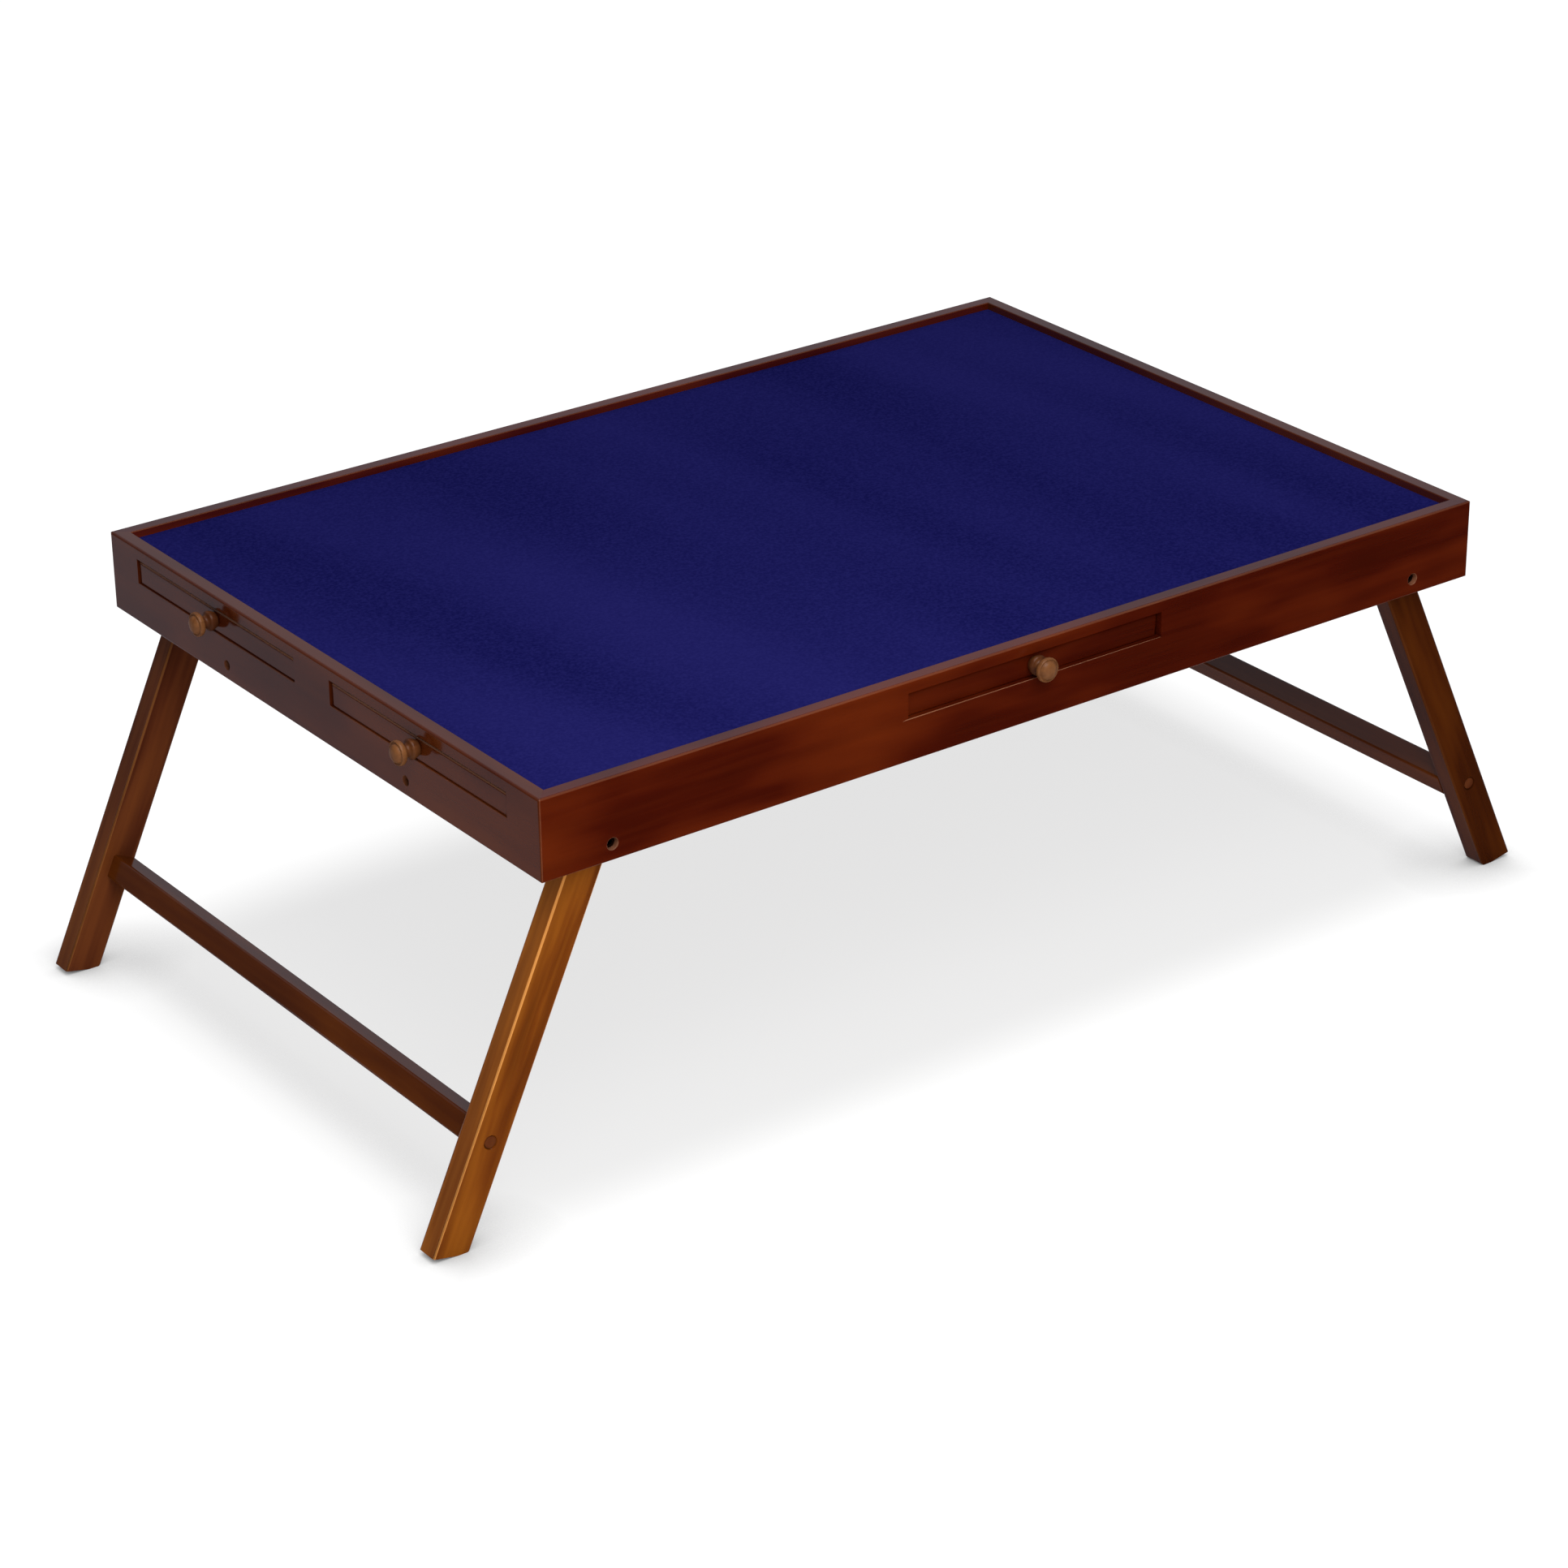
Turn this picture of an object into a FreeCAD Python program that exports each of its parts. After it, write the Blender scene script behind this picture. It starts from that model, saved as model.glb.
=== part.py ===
import FreeCAD
import Part
import math
import os

# A low puzzle table: a mitred tray of stained wood with a felt work board sunk below its rim,
# a shallow drawer at the middle of each long side and two at each end,
# and a pair of splayed leg frames that fold flat under the drawers.
# Millimetres. X runs along the table, -Y is the front, +Z is up.
# The origin is on the floor, under the middle of the table.

# Tray
TOP_LENGTH = 860.0
TOP_WIDTH = 590.0
TABLE_HEIGHT = 340.0
RAIL_HEIGHT = 63.0
RIM_WIDTH = 12.0
LEDGE_WIDTH = 6.0
RIM_ROUND = 2.0
RIM_INNER_ROUND = 1.0
RAIL_BOTTOM_ROUND = 1.5
TRAY_CORNER_ROUND = 2.0

# Work board and its felt, lying on the ledge inside the rim
RECESS_DEPTH = 5.5
FELT_THICK = 1.0
BOARD_THICK = 3.0
BOARD_GAP = 0.3

# Deck that the drawers slide on, held in a groove round the rails
DECK_THICK = 4.0
DECK_GROOVE = 6.0
DECK_GAP = 0.5

# Drawer openings
OPENING_HEIGHT = 20.0
SIDE_OPENING_WIDTH = 235.0
END_OPENING_MARGIN = 40.5
END_OPENING_SPACING = 49.0

# Drawers
SIDE_DRAWER_INSET = 4.5
END_DRAWER_INSET = 1.5
DRAWER_SIDE_GAP = 0.5
DRAWER_TOP_GAP = 2.0
DRAWER_FRONT_THICK = 10.0
DRAWER_FRONT_EASE = 2.5
DRAWER_WALL_THICK = 8.0
DRAWER_LAP = 5.0
DRAWER_BOTTOM_THICK = 3.0
DRAWER_BOTTOM_RISE = 2.5
DRAWER_GROOVE = 3.0
DRAWER_BOTTOM_GAP = 0.2
GUIDE_WIDTH = 10.0
GUIDE_HEIGHT = 15.0
SIDE_DRAWER_BACK_SPACE = 62.0
END_DRAWER_BACK_SPACE = 41.0

# Turned knobs
KNOB_LENGTH = 21.0
KNOB_HEAD_DIAMETER = 18.6
KNOB_NECK_DIAMETER = 9.2
KNOB_COLLAR_DIAMETER = 14.0
KNOB_COLLAR_THICK = 6.0
KNOB_COLLAR_BULGE = 1.0
KNOB_DOME = 2.4
KNOB_RIM_ROUND = 2.2
KNOB_GROOVE_WIDTH = 1.2
KNOB_GROOVE_DEPTH = 0.6
KNOB_SCREW_DIAMETER = 3.5
KNOB_SCREW_BITE = 11.0
KNOB_SCREW_HEAD_DIAMETER = 7.0
KNOB_SCREW_HEAD_THICK = 2.2

# Legs and stretchers
SPLAY_ANGLE = 24.5
LEG_WIDTH = 29.0
LEG_THICK = 19.0
LEG_ROUND = 2.0
LEG_FOLD_GAP = 2.3
PIVOT_INSET = 58.3
FOOT_LAND = 8.0
FOOT_TOE_EASE = 2.0
FOOT_HEEL_RISE = 4.0
STRETCHER_DEPTH = 20.0
STRETCHER_HEIGHT = 19.0
STRETCHER_ROUND = 2.0
STRETCHER_RISE = 88.0

# Rails that stop the opened legs
STOP_RAIL_GAP = 5.5
STOP_SEAT_GAP = 0.1
STOP_SCREW_SPACING = 248.0
STOP_SCREW_DIAMETER = 4.0
STOP_SCREW_HEAD_DIAMETER = 7.0
STOP_SCREW_HEAD_THICK = 2.5
STOP_SCREW_BITE = 12.0
STOP_COUNTERBORE_DIAMETER = 8.0
STOP_COUNTERBORE_DEPTH = 6.0

# Pivot bolts
BOLT_DIAMETER = 6.0
BOLT_RUNNING_GAP = 0.05
BOLT_HEAD_DIAMETER = 8.5
BOLT_HEAD_THICK = 4.5
BOLT_SOCKET_ACROSS = 4.0
BOLT_SOCKET_DEPTH = 2.5
BOLT_COUNTERBORE_DIAMETER = 9.0
BOLT_COUNTERBORE_DEPTH = 8.5
BOLT_TIP = 1.0
WASHER_DIAMETER = 14.0
WASHER_THICK = 1.5
NUT_ACROSS = 10.0
NUT_THICK = 5.0

# Screws and plugs that hold the stretchers
STRETCHER_SCREW_DIAMETER = 4.5
STRETCHER_SCREW_HEAD_DIAMETER = 8.0
STRETCHER_SCREW_HEAD_THICK = 2.5
STRETCHER_SCREW_BITE = 30.0
PLUG_DIAMETER = 11.0
PLUG_LENGTH = 6.0

# Glued and threaded round fits share one small radial gap
FIT_GAP = 0.05

# Worked-out places
rail_thick = RIM_WIDTH + LEDGE_WIDTH
rail_bottom = TABLE_HEIGHT - RAIL_HEIGHT
half_length = TOP_LENGTH / 2
half_width = TOP_WIDTH / 2
felt_top = TABLE_HEIGHT - RECESS_DEPTH
board_top = felt_top - FELT_THICK
ledge_top = board_top - BOARD_THICK
sill = ledge_top - OPENING_HEIGHT
deck_bottom = sill - DECK_THICK
end_opening_width = (TOP_WIDTH - END_OPENING_SPACING) / 2 - END_OPENING_MARGIN
end_opening_offset = (end_opening_width + END_OPENING_SPACING) / 2
side_drawer_depth = (TOP_WIDTH - SIDE_DRAWER_BACK_SPACE) / 2 - SIDE_DRAWER_INSET - GUIDE_WIDTH
side_guide_edge = SIDE_OPENING_WIDTH / 2 + GUIDE_WIDTH
end_drawer_back = side_guide_edge + END_DRAWER_BACK_SPACE + GUIDE_WIDTH
end_drawer_depth = half_length - END_DRAWER_INSET - end_drawer_back
drawer_height = OPENING_HEIGHT - DRAWER_TOP_GAP
knob_height = OPENING_HEIGHT / 2
pivot_x = half_length - PIVOT_INSET
pivot_z = deck_bottom - LEG_FOLD_GAP - LEG_WIDTH / 2
leg_outer_y = half_width - rail_thick - WASHER_THICK
leg_inner_y = leg_outer_y - LEG_THICK
splay = math.radians(SPLAY_ANGLE)
stop_top = deck_bottom - STOP_RAIL_GAP
stop_screw_z = (rail_bottom + stop_top) / 2


def vec(x, y, z):
    return FreeCAD.Vector(x, y, z)


X_AXIS = vec(1, 0, 0)
Y_AXIS = vec(0, 1, 0)
Z_AXIS = vec(0, 0, 1)
ORIGIN = vec(0, 0, 0)


def box(low, high):
    """A block between two opposite corners."""
    size = high - low
    return Part.makeBox(size.x, size.y, size.z, low)


def cylinder(diameter, length, start, direction):
    return Part.makeCylinder(diameter / 2, length, start, direction)


def hexagon(across, length, start, direction):
    """A hexagonal prism along Y, measured across its flats."""
    radius = across / math.sqrt(3)
    corners = []
    for step in range(7):
        turn = math.radians(60 * step)
        corners.append(start + vec(radius * math.cos(turn), 0, radius * math.sin(turn)))
    return Part.Face(Part.makePolygon(corners)).extrude(direction * length)


def facing(shape, angle, place):
    """Turn a shape about Z and set it in its place."""
    moved = shape.copy()
    moved.rotate(ORIGIN, Z_AXIS, angle)
    moved.translate(place)
    return moved


def mirrored(shape, normal):
    return shape.mirror(ORIGIN, normal)


def four_ways(shape):
    """One solid repeated at the four corners of the table."""
    pair = [shape, mirrored(shape, X_AXIS)]
    return pair + [mirrored(one, Y_AXIS) for one in pair]


# Rails

def rail(length, openings, holes):
    """A mitred rail with its outer face on y=0 and its lower edge on z=0.

    openings lists (middle, width) along the rail, holes lists (middle, height, bore, counterbore, depth)."""
    rebate = ledge_top - rail_bottom
    groove_top = sill - rail_bottom
    groove_bottom = deck_bottom - rail_bottom
    groove_back = rail_thick - DECK_GROOVE
    outline = [
        (0, 0), (rail_thick, 0), (rail_thick, groove_bottom), (groove_back, groove_bottom),
        (groove_back, groove_top), (rail_thick, groove_top), (rail_thick, rebate),
        (RIM_WIDTH, rebate), (RIM_WIDTH, RAIL_HEIGHT), (0, RAIL_HEIGHT), (0, 0),
    ]
    section = Part.Face(Part.makePolygon([vec(-length / 2, y, z) for y, z in outline]))
    solid = section.extrude(X_AXIS * length)
    eased = [(0, RAIL_HEIGHT, RIM_ROUND), (RIM_WIDTH, RAIL_HEIGHT, RIM_INNER_ROUND), (0, 0, RAIL_BOTTOM_ROUND)]
    for y, z, radius in eased:
        edges = [edge for edge in solid.Edges if edge.CenterOfMass.isEqual(vec(0, y, z), 1e-6)]
        solid = solid.makeFillet(radius, edges)
    for middle, width in openings:
        low = vec(middle - width / 2, 0, groove_top)
        solid = solid.cut(box(low, vec(middle + width / 2, rail_thick, rebate)))
    for middle, height, bore, counterbore, depth in holes:
        mouth = vec(middle, 0, height)
        solid = solid.cut(cylinder(bore, rail_thick, mouth, Y_AXIS))
        solid = solid.cut(cylinder(counterbore, depth, mouth, Y_AXIS))
    inner = length / 2 - rail_thick
    plan = [(-length / 2, 0), (length / 2, 0), (inner, rail_thick), (-inner, rail_thick), (-length / 2, 0)]
    mitres = Part.Face(Part.makePolygon([vec(x, y, 0) for x, y in plan])).extrude(Z_AXIS * RAIL_HEIGHT)
    block = box(vec(-length / 2, 0, 0), vec(length / 2, 2 * rail_thick, RAIL_HEIGHT))
    corners = [edge for edge in block.Edges if edge.CenterOfMass.y < 1e-6 and abs(edge.tangentAt(0).z) > 0.5]
    block = block.makeFillet(TRAY_CORNER_ROUND, corners)
    return solid.common(mitres).common(block)


def make_rails():
    bolt_bore = BOLT_DIAMETER + 2 * BOLT_RUNNING_GAP
    pivots = []
    for x in (-pivot_x, pivot_x):
        pivots.append((x, pivot_z - rail_bottom, bolt_bore, BOLT_COUNTERBORE_DIAMETER, BOLT_COUNTERBORE_DEPTH))
    screw_bore = STOP_SCREW_DIAMETER + 2 * FIT_GAP
    screws = []
    for y in (-STOP_SCREW_SPACING / 2, STOP_SCREW_SPACING / 2):
        height = stop_screw_z - rail_bottom
        screws.append((y, height, screw_bore, STOP_COUNTERBORE_DIAMETER, STOP_COUNTERBORE_DEPTH))
    long_rail = rail(TOP_LENGTH, [(0, SIDE_OPENING_WIDTH)], pivots)
    pair = [(-end_opening_offset, end_opening_width), (end_opening_offset, end_opening_width)]
    end_rail = rail(TOP_WIDTH, pair, screws)
    return {
        "front_rail": facing(long_rail, 0, vec(0, -half_width, rail_bottom)),
        "back_rail": facing(long_rail, 180, vec(0, half_width, rail_bottom)),
        "left_end_rail": facing(end_rail, -90, vec(-half_length, 0, rail_bottom)),
        "right_end_rail": facing(end_rail, 90, vec(half_length, 0, rail_bottom)),
    }


# Work board, felt and deck

def panel(inset, bottom, top):
    """A rectangular sheet that stops short of the tray's outer faces."""
    return box(vec(inset - half_length, inset - half_width, bottom), vec(half_length - inset, half_width - inset, top))


def make_panels():
    rim_inset = RIM_WIDTH + BOARD_GAP
    return {
        "work_board": panel(rim_inset, ledge_top, board_top),
        "felt_top": panel(rim_inset, board_top, felt_top),
        "drawer_deck": panel(rail_thick - DECK_GROOVE + DECK_GAP, deck_bottom, sill),
    }


# Leg frames

def along_leg(across, down):
    """A point of the left leg's plane: outwards across the leg from its centre line, and down from the pivot."""
    x = -pivot_x - across * math.cos(splay) - down * math.sin(splay)
    z = pivot_z + across * math.sin(splay) - down * math.cos(splay)
    return vec(x, 0, z)


def down_to(across, height):
    """How far down the leg a line parallel to it meets a height above the floor."""
    return (pivot_z + across * math.sin(splay) - height) / math.cos(splay)


stretcher_down = down_to(0, 0) - STRETCHER_RISE


def leg():
    """The front left leg, rounded about its pivot, with a sole that bears on the inner toe."""
    half = LEG_WIDTH / 2
    toe = along_leg(-half, down_to(-half, 0))
    toe_top = along_leg(-half, down_to(-half, FOOT_TOE_EASE))
    toe_floor = toe - X_AXIS * FOOT_TOE_EASE
    land_end = toe_floor - X_AXIS * FOOT_LAND
    heel = along_leg(half, down_to(half, FOOT_HEEL_RISE))
    outer_top = along_leg(half, 0)
    crown = along_leg(0, -half)
    inner_top = along_leg(-half, 0)
    edges = [
        Part.LineSegment(toe_top, toe_floor).toShape(),
        Part.LineSegment(toe_floor, land_end).toShape(),
        Part.LineSegment(land_end, heel).toShape(),
        Part.LineSegment(heel, outer_top).toShape(),
        Part.Arc(outer_top, crown, inner_top).toShape(),
        Part.LineSegment(inner_top, toe_top).toShape(),
    ]
    face = Part.Face(Part.Wire(edges))
    face.translate(Y_AXIS * -leg_outer_y)
    solid = face.extrude(Y_AXIS * LEG_THICK)
    long_edges = []
    for edge in solid.Edges:
        middle = edge.CenterOfMass
        runs_flat = min(abs(middle.y + leg_outer_y), abs(middle.y + leg_inner_y)) < 1e-6
        if runs_flat and middle.z > 2 * FOOT_HEEL_RISE:
            long_edges.append(edge)
    solid = solid.makeFillet(LEG_ROUND, long_edges)
    face_y = Y_AXIS * -leg_outer_y
    bolt_bore = BOLT_DIAMETER + 2 * BOLT_RUNNING_GAP
    solid = solid.cut(cylinder(bolt_bore, LEG_THICK, along_leg(0, 0) + face_y, Y_AXIS))
    screw = along_leg(0, stretcher_down) + face_y
    solid = solid.cut(cylinder(STRETCHER_SCREW_DIAMETER + 2 * FIT_GAP, LEG_THICK, screw, Y_AXIS))
    pocket = PLUG_LENGTH + STRETCHER_SCREW_HEAD_THICK
    return solid.cut(cylinder(PLUG_DIAMETER + 2 * FIT_GAP, pocket, screw, Y_AXIS))


def stretcher():
    """The left stretcher, square to the legs and flush with their inner faces."""
    inner = -LEG_WIDTH / 2
    outer = inner + STRETCHER_DEPTH
    top = stretcher_down - STRETCHER_HEIGHT / 2
    bottom = stretcher_down + STRETCHER_HEIGHT / 2
    corners = [along_leg(inner, top), along_leg(outer, top), along_leg(outer, bottom), along_leg(inner, bottom)]
    face = Part.Face(Part.makePolygon(corners + corners[:1]))
    face.translate(Y_AXIS * -leg_inner_y)
    solid = face.extrude(Y_AXIS * 2 * leg_inner_y)
    long_edges = [edge for edge in solid.Edges if abs(edge.CenterOfMass.y) < 1e-6]
    solid = solid.makeFillet(STRETCHER_ROUND, long_edges)
    hole = STRETCHER_SCREW_DIAMETER + 2 * FIT_GAP
    for side in (-1, 1):
        mouth = along_leg(0, stretcher_down) + Y_AXIS * side * leg_inner_y
        solid = solid.cut(cylinder(hole, STRETCHER_SCREW_BITE + FIT_GAP, mouth, Y_AXIS * -side))
    return solid


def stretcher_screw():
    """The screw through the front left leg, under its plug."""
    seat = along_leg(0, stretcher_down) + Y_AXIS * (PLUG_LENGTH + STRETCHER_SCREW_HEAD_THICK - leg_outer_y)
    grip = LEG_THICK - PLUG_LENGTH - STRETCHER_SCREW_HEAD_THICK
    head = cylinder(STRETCHER_SCREW_HEAD_DIAMETER, STRETCHER_SCREW_HEAD_THICK, seat, -Y_AXIS)
    return head.fuse(cylinder(STRETCHER_SCREW_DIAMETER, grip + STRETCHER_SCREW_BITE, seat, Y_AXIS)).removeSplitter()


def make_leg_frames():
    front_leg = leg()
    screw = stretcher_screw()
    plug_face = along_leg(0, stretcher_down) - Y_AXIS * leg_outer_y
    plug = cylinder(PLUG_DIAMETER, PLUG_LENGTH, plug_face, Y_AXIS)
    left = {
        "front_leg": front_leg,
        "back_leg": mirrored(front_leg, Y_AXIS),
        "stretcher": stretcher(),
        "stretcher_screws": Part.Compound([screw, mirrored(screw, Y_AXIS)]),
        "leg_plugs": Part.Compound([plug, mirrored(plug, Y_AXIS)]),
    }
    frames = {}
    for name, shape in left.items():
        frames["left_" + name] = shape
        frames["right_" + name] = mirrored(shape, X_AXIS)
    return frames


# Stop rails and the fastenings of the tray

def stop_rail():
    """The left stop rail: its inner face lies along the opened legs."""
    back = rail_thick - half_length
    reach = LEG_WIDTH / 2 + STOP_SEAT_GAP
    low = along_leg(reach, down_to(reach, rail_bottom))
    high = along_leg(reach, down_to(reach, stop_top))
    corners = [vec(back, 0, rail_bottom), low, high, vec(back, 0, stop_top)]
    face = Part.Face(Part.makePolygon(corners + corners[:1]))
    span = half_width - rail_thick
    face.translate(Y_AXIS * -span)
    solid = face.extrude(Y_AXIS * 2 * span)
    for y in (-STOP_SCREW_SPACING / 2, STOP_SCREW_SPACING / 2):
        hole = cylinder(STOP_SCREW_DIAMETER + 2 * FIT_GAP, STOP_SCREW_BITE + FIT_GAP, vec(back, y, stop_screw_z), X_AXIS)
        solid = solid.cut(hole)
    return solid


def stop_screw():
    """One screw of the left end rail."""
    seat = vec(STOP_COUNTERBORE_DEPTH - half_length, STOP_SCREW_SPACING / 2, stop_screw_z)
    grip = rail_thick - STOP_COUNTERBORE_DEPTH
    head = cylinder(STOP_SCREW_HEAD_DIAMETER, STOP_SCREW_HEAD_THICK, seat, -X_AXIS)
    return head.fuse(cylinder(STOP_SCREW_DIAMETER, grip + STOP_SCREW_BITE, seat, X_AXIS)).removeSplitter()


def pivot_set():
    """The front left pivot: a socket head bolt, a washer on each side of the leg, and a nut."""
    pivot = along_leg(0, 0)
    seat = pivot + Y_AXIS * (BOLT_COUNTERBORE_DEPTH - half_width)
    grip = rail_thick - BOLT_COUNTERBORE_DEPTH + WASHER_THICK + LEG_THICK + WASHER_THICK
    head = cylinder(BOLT_HEAD_DIAMETER, BOLT_HEAD_THICK, seat, -Y_AXIS)
    socket = hexagon(BOLT_SOCKET_ACROSS, BOLT_SOCKET_DEPTH, seat - Y_AXIS * BOLT_HEAD_THICK, Y_AXIS)
    shank = cylinder(BOLT_DIAMETER, grip + NUT_THICK + BOLT_TIP, seat, Y_AXIS)
    bolt = head.cut(socket).fuse(shank).removeSplitter()
    bore = BOLT_DIAMETER + 2 * FIT_GAP
    washers = []
    for y in (-leg_outer_y - WASHER_THICK, -leg_inner_y):
        start = pivot + Y_AXIS * y
        disc = cylinder(WASHER_DIAMETER, WASHER_THICK, start, Y_AXIS)
        washers.append(disc.cut(cylinder(bore, WASHER_THICK, start, Y_AXIS)))
    nut_face = pivot + Y_AXIS * (WASHER_THICK - leg_inner_y)
    nut = hexagon(NUT_ACROSS, NUT_THICK, nut_face, Y_AXIS).cut(cylinder(bore, NUT_THICK, nut_face, Y_AXIS))
    return bolt, washers, nut


def make_fastenings():
    left_stop = stop_rail()
    bolt, washers, nut = pivot_set()
    all_washers = []
    for washer in washers:
        all_washers += four_ways(washer)
    return {
        "left_stop_rail": left_stop,
        "right_stop_rail": mirrored(left_stop, X_AXIS),
        "stop_rail_screws": Part.Compound(four_ways(stop_screw())),
        "pivot_bolts": Part.Compound(four_ways(bolt)),
        "pivot_washers": Part.Compound(all_washers),
        "pivot_nuts": Part.Compound(four_ways(nut)),
    }


# Drawers: built with the front face on y=0, the lower edge on z=0, opening towards -Y

def drawer_front(width):
    solid = box(vec(-width / 2, 0, 0), vec(width / 2, DRAWER_FRONT_THICK, drawer_height))
    shown = [edge for edge in solid.Edges if edge.CenterOfMass.y < 1e-6]
    solid = solid.makeFillet(DRAWER_FRONT_EASE, shown)
    lap_start = DRAWER_FRONT_THICK - DRAWER_LAP
    inner = width / 2 - DRAWER_WALL_THICK
    for side in (-1, 1):
        low = vec(min(side * inner, side * width / 2), lap_start, 0)
        solid = solid.cut(box(low, low + vec(DRAWER_WALL_THICK, DRAWER_LAP, drawer_height)))
    groove_low = vec(-inner, DRAWER_FRONT_THICK - DRAWER_GROOVE, DRAWER_BOTTOM_RISE)
    groove_high = vec(inner, DRAWER_FRONT_THICK, DRAWER_BOTTOM_RISE + DRAWER_BOTTOM_THICK)
    solid = solid.cut(box(groove_low, groove_high))
    hole = cylinder(KNOB_SCREW_DIAMETER + 2 * FIT_GAP, DRAWER_FRONT_THICK, vec(0, 0, knob_height), Y_AXIS)
    return solid.cut(hole)


def drawer_walls(width, depth):
    """Two grooved sides lapped into the front, and a back that stands on the bottom."""
    inner = width / 2 - DRAWER_WALL_THICK
    bottom_top = DRAWER_BOTTOM_RISE + DRAWER_BOTTOM_THICK
    lap_start = DRAWER_FRONT_THICK - DRAWER_LAP
    side = box(vec(-width / 2, lap_start, 0), vec(-inner, depth, drawer_height))
    groove = box(vec(-inner - DRAWER_GROOVE, lap_start, DRAWER_BOTTOM_RISE), vec(-inner, depth, bottom_top))
    side = side.cut(groove)
    back = box(vec(-inner, depth - DRAWER_WALL_THICK, bottom_top), vec(inner, depth, drawer_height))
    return Part.Compound([side, mirrored(side, X_AXIS), back])


def drawer_bottom(width, depth):
    """The sheet in the grooves, notched round the front's laps."""
    inner = width / 2 - DRAWER_WALL_THICK
    reach = inner + DRAWER_GROOVE - DRAWER_BOTTOM_GAP
    top = DRAWER_BOTTOM_RISE + DRAWER_BOTTOM_THICK
    sheet = box(vec(-reach, DRAWER_FRONT_THICK, DRAWER_BOTTOM_RISE), vec(reach, depth, top))
    tongue_start = DRAWER_FRONT_THICK - DRAWER_GROOVE + DRAWER_BOTTOM_GAP
    tongue_low = vec(DRAWER_BOTTOM_GAP - inner, tongue_start, DRAWER_BOTTOM_RISE)
    tongue = box(tongue_low, vec(inner - DRAWER_BOTTOM_GAP, DRAWER_FRONT_THICK, top))
    return sheet.fuse(tongue).removeSplitter()


def knob():
    """A turned knob: beaded collar, coved neck, and a head with a beaded rim, a groove and a low dome."""
    head = KNOB_HEAD_DIAMETER / 2
    collar = KNOB_COLLAR_DIAMETER / 2
    collar_end = collar - KNOB_COLLAR_BULGE
    dome_foot = KNOB_LENGTH - KNOB_DOME
    underside = dome_foot - 2 * KNOB_RIM_ROUND
    neck_middle = (KNOB_COLLAR_THICK + underside) / 2
    rim_inner = head - KNOB_RIM_ROUND
    groove_middle = rim_inner - KNOB_GROOVE_WIDTH / 2
    dome = rim_inner - KNOB_GROOVE_WIDTH
    dome_radius = (dome ** 2 + KNOB_DOME ** 2) / (2 * KNOB_DOME)
    half_sweep = math.asin(min(1.0, dome / dome_radius)) / 2

    def at(radius, out):
        return vec(radius, -out, 0)

    edges = [
        Part.LineSegment(at(0, 0), at(collar_end, 0)).toShape(),
        Part.Arc(
            at(collar_end, 0),
            at(collar, KNOB_COLLAR_THICK / 2),
            at(collar_end, KNOB_COLLAR_THICK),
        ).toShape(),
        Part.Arc(
            at(collar_end, KNOB_COLLAR_THICK),
            at(KNOB_NECK_DIAMETER / 2, neck_middle),
            at(rim_inner, underside),
        ).toShape(),
        Part.Arc(
            at(rim_inner, underside),
            at(head, underside + KNOB_RIM_ROUND),
            at(rim_inner, dome_foot),
        ).toShape(),
        Part.Arc(
            at(rim_inner, dome_foot),
            at(groove_middle, dome_foot - KNOB_GROOVE_DEPTH),
            at(dome, dome_foot),
        ).toShape(),
        Part.Arc(
            at(dome, dome_foot),
            at(dome_radius * math.sin(half_sweep), KNOB_LENGTH - dome_radius * (1 - math.cos(half_sweep))),
            at(0, KNOB_LENGTH),
        ).toShape(),
        Part.LineSegment(at(0, KNOB_LENGTH), at(0, 0)).toShape(),
    ]
    turned = Part.Face(Part.Wire(edges)).revolve(ORIGIN, Y_AXIS, 360)
    pilot = cylinder(KNOB_SCREW_DIAMETER + 2 * FIT_GAP, KNOB_SCREW_BITE + FIT_GAP, ORIGIN, -Y_AXIS)
    solid = Part.Solid(turned.Shells[0]).cut(pilot)
    solid.translate(Z_AXIS * knob_height)
    return solid


def knob_screw():
    seat = vec(0, DRAWER_FRONT_THICK, knob_height)
    head = cylinder(KNOB_SCREW_HEAD_DIAMETER, KNOB_SCREW_HEAD_THICK, seat, Y_AXIS)
    shank = cylinder(KNOB_SCREW_DIAMETER, DRAWER_FRONT_THICK + KNOB_SCREW_BITE, seat, -Y_AXIS)
    return head.fuse(shank).removeSplitter()


def drawer_runway(opening, depth, inset):
    """The pair of guides beside a drawer and the stop behind it, seated on the deck."""
    start = rail_thick - inset
    guide = box(vec(opening / 2, start, 0), vec(opening / 2 + GUIDE_WIDTH, depth, GUIDE_HEIGHT))
    stop = box(vec(-opening / 2, depth, 0), vec(opening / 2, depth + GUIDE_WIDTH, GUIDE_HEIGHT))
    return [guide, mirrored(guide, X_AXIS)], stop


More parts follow.
